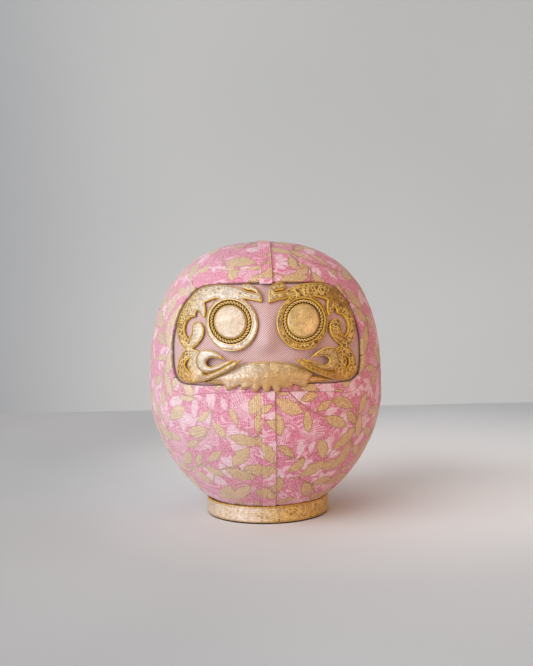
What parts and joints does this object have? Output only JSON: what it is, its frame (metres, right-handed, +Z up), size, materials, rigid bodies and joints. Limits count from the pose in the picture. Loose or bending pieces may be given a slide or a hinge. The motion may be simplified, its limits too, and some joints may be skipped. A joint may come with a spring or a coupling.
{
  "type": "daruma doll",
  "caption": "Rounded daruma doll: printed cloth over a hollow paper egg, a recessed twill face with gilded leather brows, round eyes and moustache, standing on a flat banded foot.",
  "frame": {"origin": "centre of the foot's underside, on the surface the doll stands on", "axes": "+Z up through the crown, -Y out of the face, +X to the right of someone facing it"},
  "size_m": [0.1188, 0.1212, 0.1403],
  "materials": {
    "paper_pulp": "matte",
    "clay": "matte",
    "wood": "matte",
    "sole_felt": "matte",
    "printed_cloth": "satin",
    "face_twill": "satin",
    "gilt_leather": "satin",
    "gold_cord": "satin"
  },
  "bodies": {
    "root": {"body_shell": "paper_pulp", "ballast_weight": "clay", "foot_core": "wood", "sole_pad": "sole_felt", "fabric_left": "printed_cloth", "fabric_right": "printed_cloth", "brow_band": "printed_cloth", "chin_band": "printed_cloth", "front_strip": "printed_cloth", "crown_strip": "printed_cloth", "face_cloth": "face_twill", "brow_scroll_left": "gilt_leather", "brow_scroll_right": "gilt_leather", "cheek_loop_left": "gilt_leather", "cheek_loop_right": "gilt_leather", "eye_disc_left": "gilt_leather", "eye_disc_right": "gilt_leather", "moustache": "gilt_leather", "mouth_leaf": "gilt_leather", "foot_band": "gilt_leather", "eye_cord_left": "gold_cord", "eye_cord_right": "gold_cord"}
  },
  "joints": []
}
